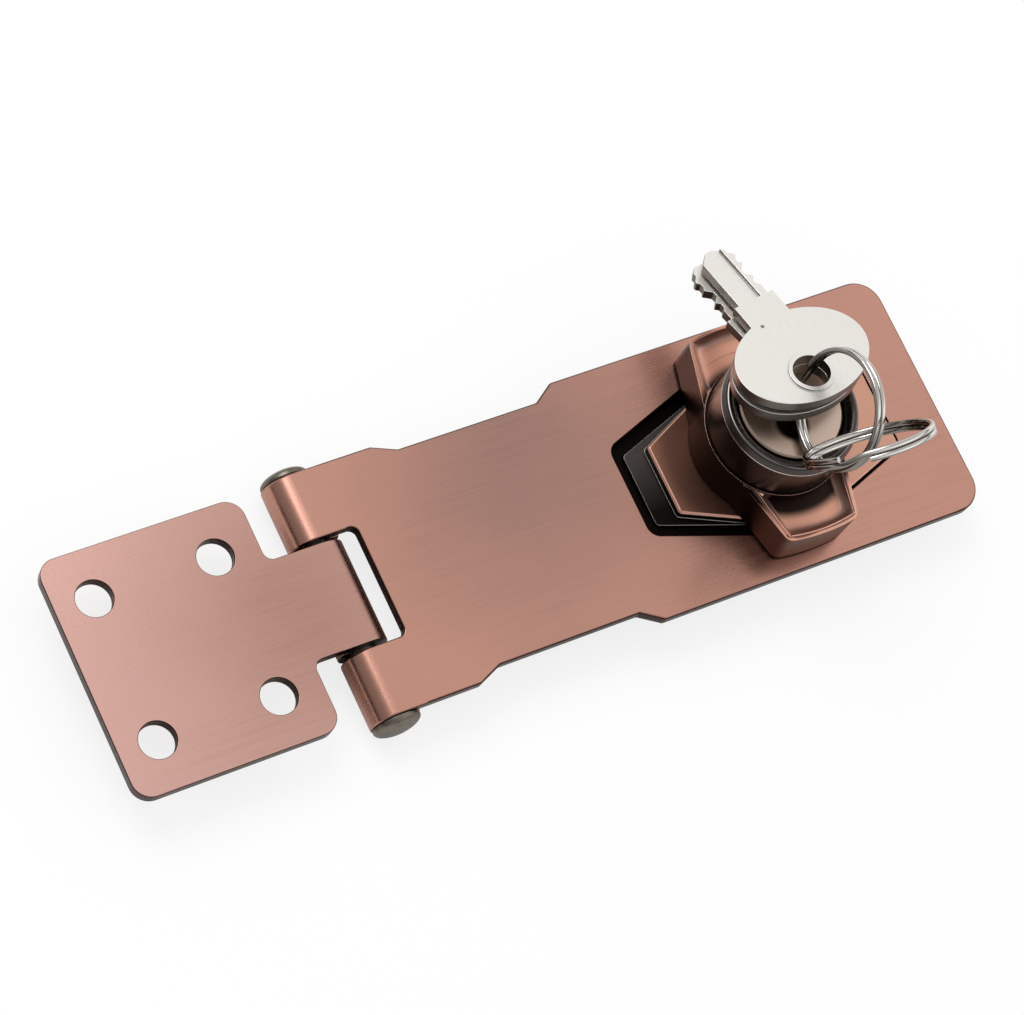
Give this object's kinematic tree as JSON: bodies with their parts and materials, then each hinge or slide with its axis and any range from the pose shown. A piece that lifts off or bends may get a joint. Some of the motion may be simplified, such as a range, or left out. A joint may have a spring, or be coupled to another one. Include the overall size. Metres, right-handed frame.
{
  "type": "keyed turn-knob hasp lock",
  "caption": "Hinged hasp strap whose slot drops over a base with a winged locking knob, turned across the slot and locked by a key cylinder; keys on a ring lie on the knob.",
  "frame": {"origin": "on the mounting surface, where the lock's axis meets it", "axes": "+X along the strap to its free end, +Z out of the mounting surface along the lock's axis, +Y across the strap"},
  "size_m": [0.1461, 0.0491, 0.0445],
  "materials": {
    "copper_strap": "brushed antique copper plating",
    "copper_leaf": "brushed antique copper plating, a little paler",
    "pin_steel": "copper plated, darkened",
    "copper_casting": "antique copper plated casting",
    "copper_knob": "antique copper plated casting, dark in its recesses",
    "black_chrome": "glossy black chrome",
    "plug_face_metal": "grey-brown plated brass",
    "inner_brass": "plain brass",
    "spring_steel": "spring steel",
    "bolt_steel": "plain steel",
    "key_nickel": "satin nickel",
    "ring_nickel": "polished nickel"
  },
  "bodies": {
    "base": {"hasp_strap": "copper_strap", "hinge_pin": "pin_steel", "lock_base": "copper_casting"},
    "leaf": {"hinge_leaf": "copper_leaf"},
    "knob": {"turn_knob": "copper_knob", "lock_collar": "black_chrome", "cylinder_shell": "inner_brass", "hub_circlip": "spring_steel", "top_key": "key_nickel", "under_key": "key_nickel", "key_ring": "ring_nickel", "link_ring": "ring_nickel"},
    "plug": {"key_plug": "plug_face_metal", "plug_clip": "spring_steel", "wafer_1": "inner_brass", "wafer_2": "inner_brass", "wafer_3": "inner_brass", "wafer_4": "inner_brass", "wafer_spring_1": "spring_steel", "wafer_spring_2": "spring_steel", "wafer_spring_3": "spring_steel", "wafer_spring_4": "spring_steel"},
    "bolt": {"locking_bolt": "bolt_steel"}
  },
  "joints": [
    {"name": "leaf_fold", "type": "hinge", "parent": "base", "child": "leaf", "pos_m": [-0.072, 0, 0.004], "axis": [0, 1, 0], "range_deg": [-180, 105]},
    {"name": "knob_turn", "type": "hinge", "parent": "base", "child": "knob", "pos_m": [0, 0, 0], "axis": [0, 0, 1], "range_deg": [0, 90]},
    {"name": "plug_turn", "type": "hinge", "parent": "knob", "child": "plug", "pos_m": [0, 0, 0], "axis": [0, 0, 1], "range_deg": [0, 90]},
    {"name": "bolt_slide", "type": "slide", "parent": "knob", "child": "bolt", "axis": [1, 0, 0], "range_m": [0, 0.00269]}
  ],
  "couplings": [
    {"joint": "bolt_slide", "follows": "plug_turn", "m_per_rad": 0.0017106}
  ]
}
